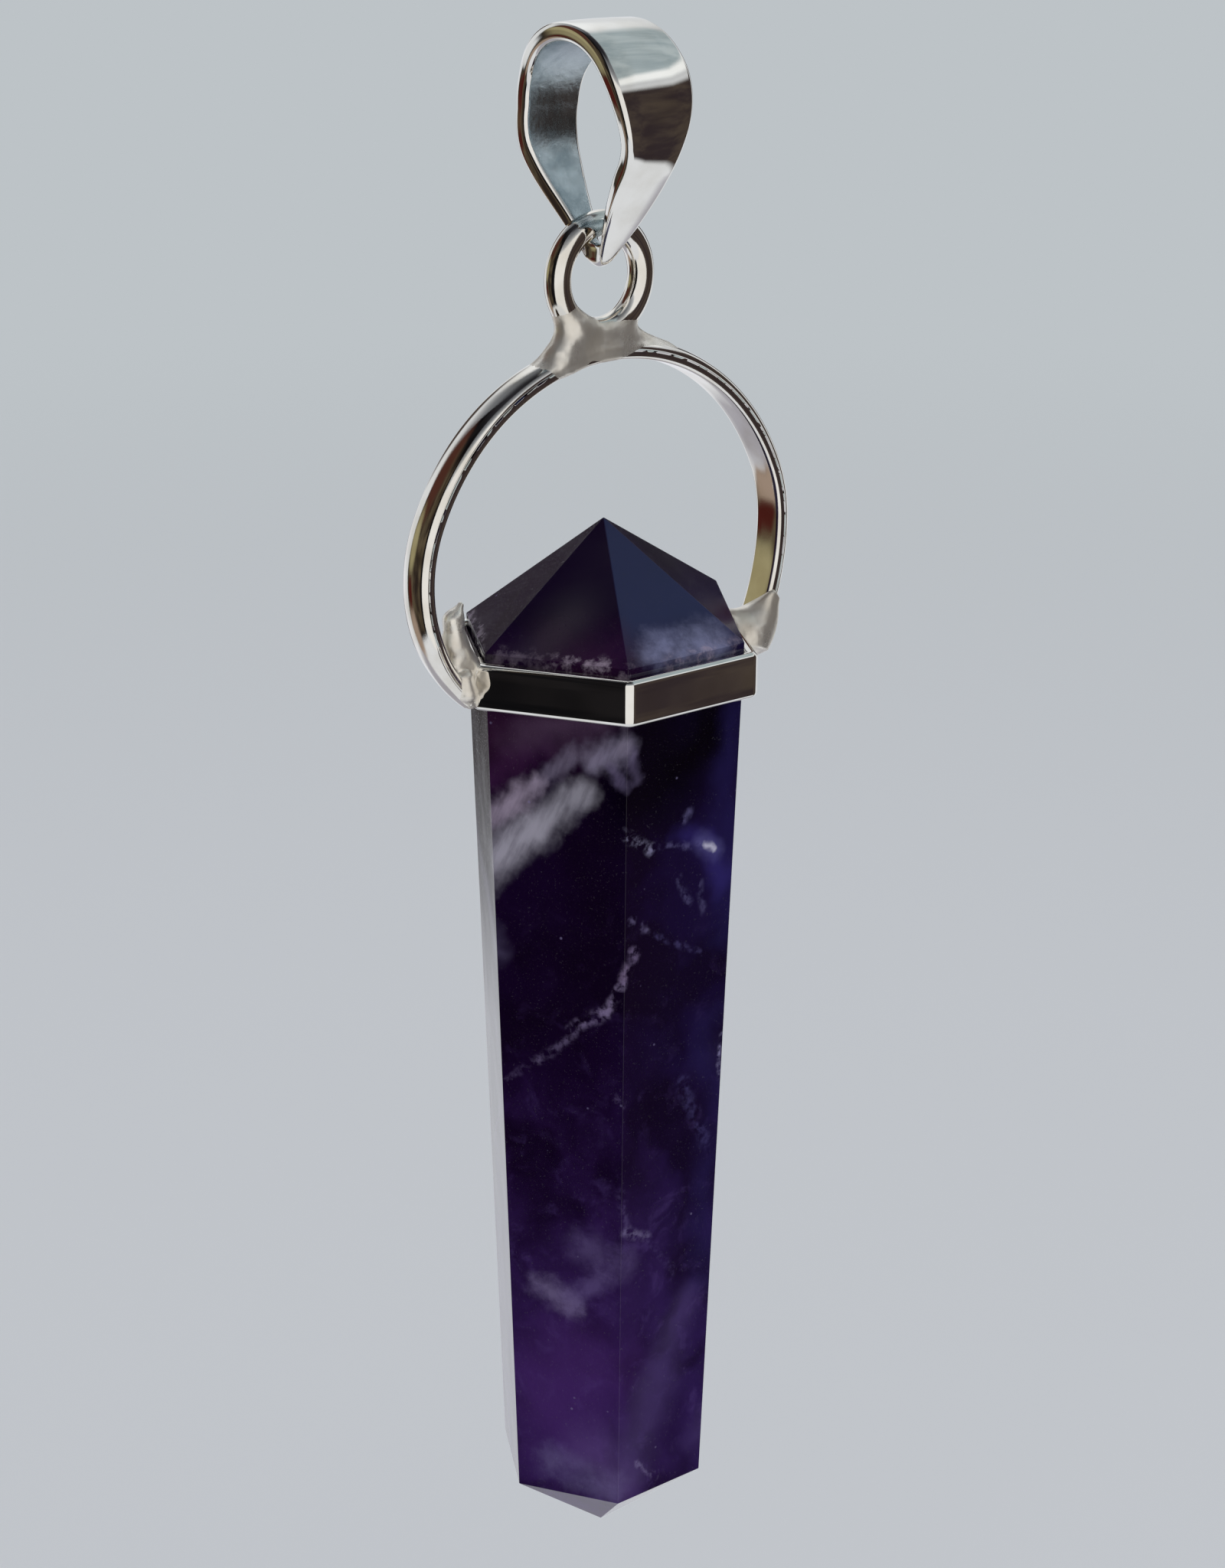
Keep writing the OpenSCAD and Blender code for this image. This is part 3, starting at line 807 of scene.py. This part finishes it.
def amethyst():
    """Nearly black violet above and lighter purple below, partly painted glow of light passing through, with
    pale veils, feathers, colour zones, painted glints, and painted shade and reflection on two facets of the
    upper point.
    """
    drift_reach = 3.0
    shake_reach = 0.6
    facet_blend = 0.04
    polish = 0.035
    smear_dulling = 0.08
    rub_dulling = 0.3
    ground_dulling = 0.15
    quartz_ior = 1.55
    quartz_shine = 0.28
    wave_h = 0.012 * mm
    pit_depth = 0.006 * mm
    material = bpy.data.materials.new("amethyst")
    material.use_nodes = True
    tree = material.node_tree
    shader = tree.nodes["Principled BSDF"]
    net = Net(tree)
    place = net.vector("SCALE", net.node("ShaderNodeTexCoord", out="Object"), 1 / mm)
    z = place.part("Z")
    height = (z - stone_low_z / mm) / (stone_body / mm)
    drift = net.vector("SUBTRACT", place.noise(0.35, 3, 0.5, out="Color"), (0.5, 0.5, 0.5))
    loose = net.vector("ADD", place, net.vector("SCALE", drift, drift_reach))
    shake = net.vector("SUBTRACT", place.noise(1.1, 3, 0.6, out="Color"), (0.5, 0.5, 0.5))
    bent = net.vector("ADD", place, net.vector("SCALE", shake, shake_reach))
    patchy = place.noise(1.3, 5, 0.65).smooth(0.3, 0.62)
    broken = place.noise(3.0, 3, 0.6).smooth(0.4, 0.66)

    def along(direction):
        return place.dot(tuple(direction))

    def beyond(turn):
        """1 past the upright plane through the stone's middle that faces a direction."""
        middle = stone_x / mm * cos(turn)
        return (along((cos(turn), sin(turn), 0)) - middle).smooth(-facet_blend, facet_blend)

    grain = (mark(front_left, 0.5, 28.2) - mark(front_left, -0.5, 26.0)).normalized()
    across_it = grain.cross(Vector((cos(radians(front_left)), sin(radians(front_left)), 0)))
    combed = net.node("ShaderNodeCombineXYZ", None,
                      {"X": along(grain) * 0.5, "Y": along(across_it) * 2.2})
    fibre = combed.noise(1.2, 3, 0.55).smooth(0.36, 0.62)
    ragged = combed.noise(0.7, 2, 0.5) + place.noise(1.0, 4, 0.6) - 1.0

    def near(where, side, start, end, width, fray=None):
        """1 along a line between two places on a side, falling to 0 at a distance of width."""
        a = mark(side, *start)
        way = mark(side, *end) - a
        away = net.vector("SUBTRACT", where, tuple(a))
        share = net.node("ShaderNodeClamp", None, {"Value": away.dot(tuple(way / way.length_squared))})
        rest = net.vector("SUBTRACT", away, net.vector("SCALE", tuple(way), share))
        distance = rest.length()
        if fray is not None:
            distance = distance + fray
        return distance.smooth(width, 0.0)

    mist = loose.noise(0.55, 5, 0.6)
    # Darker towards the upper point, and lighter purple low down that is partly painted glow of light
    # passing through the stone
    tone = (height + (mist - 0.5) * 0.5).smooth(0.02, 0.62)
    hue = tone.mix(colour("3f2562"), colour("19062a"))
    blue_side = along((0.5, -0.87, 0)).smooth(1.5, 4.6)
    hue = (blue_side * 0.35).mix(hue, colour("241d55"))
    deep = loose.noise(0.28, 2, 0.5).smooth(0.42, 0.62)
    hue = (deep * 0.6).mix(hue, colour("100318"))
    soft_cloud = loose.noise(0.9, 6, 0.62).smooth(0.52, 0.76) * height.smooth(0.9, 0.0)
    hue = (soft_cloud * 0.35).mix(hue, colour("6b529a"))

    # Colour zones, and one painted glow of light passing through the stone
    for side, start, end, width, strength, code in zones_and_glow:
        hue = (near(loose, side, start, end, width) * strength).mix(hue, colour(code))
    for side, start, end, width, strength, code in streak:
        here = near(bent, side, start, end, width, ragged * 0.5)
        hue = (here * strength * (fibre * 0.3 + 0.7)).mix(hue, colour(code))
    for side, start, end, width, strength, code in feathers:
        here = near(bent, side, start, end, width)
        hue = (here * strength * broken).mix(hue, colour(code))
    # Painted shade and painted reflection, each over a whole facet of the upper point
    above = (z - stone_edge_z / mm).smooth(0.0, 1.2)
    for side, strength, code in painted_facet_light:
        here = beyond(radians(side - 60)) * beyond(radians(side + 60))
        hue = (here * above * strength).mix(hue, colour(code))
    for side, start, end, width, strength, code in spots:
        here = near(bent, side, start, end, width, place.noise(1.5, 4, 0.65) * 0.9 - 0.45)
        hue = (here * strength * (patchy * 0.5 + 0.5)).mix(hue, colour(code))
    # A painted glint in a faint painted halo, and tiny painted glints in a few places
    painted_glint = near(bent, front_right, (1.1, 25.2), (1.5, 24.85), 0.22)
    glint_halo = near(bent, front_right, (0.9, 25.4), (1.6, 24.8), 0.6)
    hue = (glint_halo * 0.25).mix(hue, colour("8f8ad0"))
    hue = (painted_glint * 0.75).mix(hue, colour("e8e4fa"))
    cells = {"Vector": place, "Scale": 1.5}
    glint_specks = net.node("ShaderNodeTexVoronoi", None, cells, "Distance").smooth(0.1, 0.04)
    few = net.node("ShaderNodeTexVoronoi", None, cells, "Color").part("X").smooth(0.8, 0.9)
    hue = (glint_specks * few * 0.5).mix(hue, colour("8f84b0"))
    rim = (z - stone_edge_z / mm).smooth(0.4, 0.04) * (z - collar_top_z / mm).smooth(-0.5, 0.0)
    rub_places = place.noise(0.5, 1).smooth(0.4, 0.62) * 0.7 + 0.3
    rub = (place.noise(1.9, 4, 0.65) + rim * 0.1).smooth(0.54, 0.76) * rim * rub_places
    hue = (rub * 0.6).mix(hue, colour("b3a2b6"))
    tree.links.new(hue.output, shader.inputs["Base Color"])
    # The upper point is left a little duller than the sides
    smear = place.noise(0.5, 3, 0.6)
    ground = (z - stone_edge_z / mm).smooth(-0.05, 0.05)
    rough = smear.smooth(0.4, 0.8) * smear_dulling + polish + rub * rub_dulling + ground * ground_dulling
    tree.links.new(rough.output, shader.inputs["Roughness"])
    shader.inputs["IOR"].default_value = quartz_ior
    shader.inputs["Specular IOR Level"].default_value = quartz_shine
    pits = place.noise(14, 3, 0.7).smooth(0.62, 0.8)
    slow = net.node("ShaderNodeBump", None, {"Distance": wave_h, "Height": place.noise(0.45, 1)})
    fine = net.node("ShaderNodeBump", None,
                    {"Distance": pit_depth, "Height": 1 - pits, "Normal": slow})
    tree.links.new(fine.output, shader.inputs["Normal"])
    return material


stone = grow("amethyst_point", bpy.data.meshes.new("stone_start"), point_tree(), {
    "Upper Radius": stone_top_r, "Lower Radius": stone_low_r, "Body Length": stone_body,
    "Crown Height": stone_high.z - stone_edge_z, "Point Height": stone_low_z - stone_low.z,
    "Raised Corner": stone_rise, "Middle": (stone_x, 0, stone_low_z), "Material": amethyst()})
stone_edge_r = 0.014 * mm
least_edge_turn = radians(8)
edges = stone.modifiers.new("eased_edges", "BEVEL")
edges.width = stone_edge_r
edges.segments = 3
edges.limit_method = "ANGLE"
edges.angle_limit = least_edge_turn
edges.harden_normals = True
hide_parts("stone")
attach(stone, "drop")

# Studio: a pale table far below the hanging pendant, a large soft light over it and a weak one in
# front. The room is pale, with dark walls left and right of the camera, which the silver mirrors.
# The table shows the lamps' light out to lit_r, and has faded into the backdrop at lost_r.
floor_drop = 30 * mm
floor_half = 5
lit_r = 0.14
lost_r = 0.42
floor_z = stone_low.z - floor_drop
floor_corners = [(-floor_half, -floor_half, floor_z), (floor_half, -floor_half, floor_z),
                 (floor_half, floor_half, floor_z), (-floor_half, floor_half, floor_z)]
floor_mesh = bpy.data.meshes.new("table")
floor_mesh.from_pydata(floor_corners, [], [(0, 1, 2, 3)])
floor = bpy.data.objects.new("table", floor_mesh)
bpy.context.scene.collection.objects.link(floor)
backdrop = colour("bdc3c7")
black = (0, 0, 0, 1)
table_paint = bpy.data.materials.new("table_paint")
table_paint.use_nodes = True
table_shader = table_paint.node_tree.nodes["Principled BSDF"]
paint = Net(table_paint.node_tree)
faded = paint.node("ShaderNodeTexCoord", out="Object").length().smooth(lit_r, lost_r)
lit = faded.mix(colour("eceef0"), black)
glow = faded.mix(black, backdrop)
paint.tree.links.new(lit.output, table_shader.inputs["Base Color"])
paint.tree.links.new(glow.output, table_shader.inputs["Emission Color"])
table_shader.inputs["Emission Strength"].default_value = 1.0
table_shader.inputs["Roughness"].default_value = 0.9
table_shader.inputs["Specular IOR Level"].default_value = 0.0
floor_mesh.materials.append(table_paint)
floor.visible_glossy = False

world = bpy.data.worlds.new("studio")
world.use_nodes = True
bpy.context.scene.world = world
sky = Net(world.node_tree)
look = sky.node("ShaderNodeTexCoord", out="Generated")
up = look.part("Z")
level = sky.vector("NORMALIZE", sky.vector("MULTIPLY", look, (1, 1, 0)), (0, 0, 0))


def rise(elevation):
    """How far up a direction points, for its elevation in degrees."""
    return sin(radians(elevation))


def facing(azimuth, elevation):
    """A direction from the pendant into the room, from its two angles in degrees."""
    a, e = radians(azimuth), radians(elevation)
    return Vector((cos(a) * cos(e), sin(a) * cos(e), sin(e)))


def wall(azimuth, half, low, high, soft=2.5):
    """1 on a part of the room, round an azimuth and between two elevations, with soft borders."""
    along = level.dot(tuple(facing(azimuth, 0)))
    along = along.smooth(cos(radians(half + soft)), cos(radians(max(half - soft, 0))))
    over = up.smooth(rise(low - soft), rise(low + soft))
    under = up.smooth(rise(high + soft), rise(high - soft))
    return along * over * under


def patch(azimuth, elevation, radius):
    """1 in the middle of a round patch of the room, falling off softly to its radius."""
    core_share = 0.35
    near = look.dot(tuple(facing(azimuth, elevation)))
    return near.smooth(cos(radians(radius)), cos(radians(radius * core_share)))


# The room, painted one part over the other: the ceiling and the ground
clutter = look.noise(4, 4, 0.6).smooth(0.35, 0.65)
room = up.smooth(rise(20), rise(62)).mix(colour("dadde0"), colour("6a6d72"))
room = up.smooth(rise(-30), rise(-48)).mix(room, colour("dde0e4"))
# Behind the pendant
room = wall(60, 62, -80, -38, 6).mix(room, colour("a4a3ac"))
room = wall(70, 30, -34, 0, 5).mix(room, colour("e6e8ee"))
room = patch(70, -14, 11).mix(room, colour("38322f"))
room = patch(76, 12, 14).mix(room, colour("453b36"))
room = patch(30, 4, 18).mix(room, colour("2f2d30"))
# Behind the camera
room = wall(240, 42, -36, 34, 4).mix(room, colour("ebeae8"))
# Left of the camera
room = wall(160, 44, -40, 80).mix(room, clutter.mix(colour("0d0d0f"), colour("1c1a1b")))
room = wall(148, 28, -40, 50, 5).mix(room, clutter.mix(colour("2c2420"), colour("5b5140")))
room = patch(128, -34, 16).mix(room, colour("9c8a7c"))
room = patch(130, 34, 24).mix(room, colour("4c2e26"))
room = patch(130, 6, 17).mix(room, colour("9a9270"))
room = patch(130, -16, 10).mix(room, colour("481d19"))
# Right of the camera
room = wall(320, 38, -40, 27).mix(room, clutter.mix(colour("322a2c"), colour("494039")))
# High on the right, high behind the pendant, and straight above
room = (wall(-10, 48, 34, 62) * 0.85).mix(room, clutter.mix(colour("93a3a9"), colour("b4c1c5")))
room = wall(-30, 32, 33, 39, 2).mix(room, colour("f4f7f8"))
room = patch(58, 38, 22).mix(room, colour("f2f5f7"))
room = patch(0, 90, 30).mix(room, colour("26262a"))
# The camera itself sees a plain backdrop
seen = sky.node("ShaderNodeLightPath", out="Is Camera Ray")
room = seen.mix(room, backdrop)
background = world.node_tree.nodes["Background"]
world.node_tree.links.new(room.output, background.inputs["Color"])
background.inputs["Strength"].default_value = 1.0
lamps_aim = Vector((0, 0, -25 * mm))


def soft_light(name, azimuth, elevation, distance, width, height, power, tint):
    """A softbox that faces the pendant's middle, with its sizes in metres and its power in watts."""
    lamp = bpy.data.lights.new(name, "AREA")
    lamp.shape = "RECTANGLE"
    lamp.size = width
    lamp.size_y = height
    lamp.energy = power
    lamp.color = colour(tint)[:3]
    away = facing(azimuth, elevation)
    holder = bpy.data.objects.new(name, lamp)
    holder.location = lamps_aim + away * distance
    holder.rotation_euler = away.to_track_quat("Z", "Y").to_euler()
    holder.visible_glossy = False
    bpy.context.scene.collection.objects.link(holder)


soft_light("overhead", azimuth=60, elevation=86, distance=0.6, width=0.6, height=0.6,
           power=1.9, tint="f4f7ff")
soft_light("front", azimuth=250, elevation=62, distance=0.5, width=0.2, height=0.2,
           power=0.16, tint="fff6ea")

# Camera: the photograph's view, from the front left and a little above, at a distance of 110 mm.
# The lens is as long as 4093 pixels of the photograph, which is 2048 pixels high.
view_side = radians(-39.5)
view_rise = radians(18.86)
view_roll = radians(0.22)
view_distance = 110 * mm
view_aim = Vector((0.64 * mm, 0, collar_top_z - 5.49 * mm))
lens_px = 4093
photo_h_px = 2048
film_h = 36
camera = bpy.data.cameras.new("camera")
# The picture is upright, so the film's width is fitted to the picture's height
camera.sensor_width = film_h
camera.lens = film_h * lens_px / photo_h_px
camera.clip_start = 1 * mm
camera.clip_end = 10
view_back = Vector((sin(view_side) * cos(view_rise), -cos(view_side) * cos(view_rise), sin(view_rise)))
view = bpy.data.objects.new("camera", camera)
view.rotation_mode = "QUATERNION"
view.location = view_aim + view_back * view_distance
turned = view_back.to_track_quat("Z", "Y")
turned.rotate(Quaternion(view_back, view_roll))
view.rotation_quaternion = turned
bpy.context.scene.collection.objects.link(view)
bpy.context.scene.camera = view
bpy.context.scene.view_settings.view_transform = "Standard"
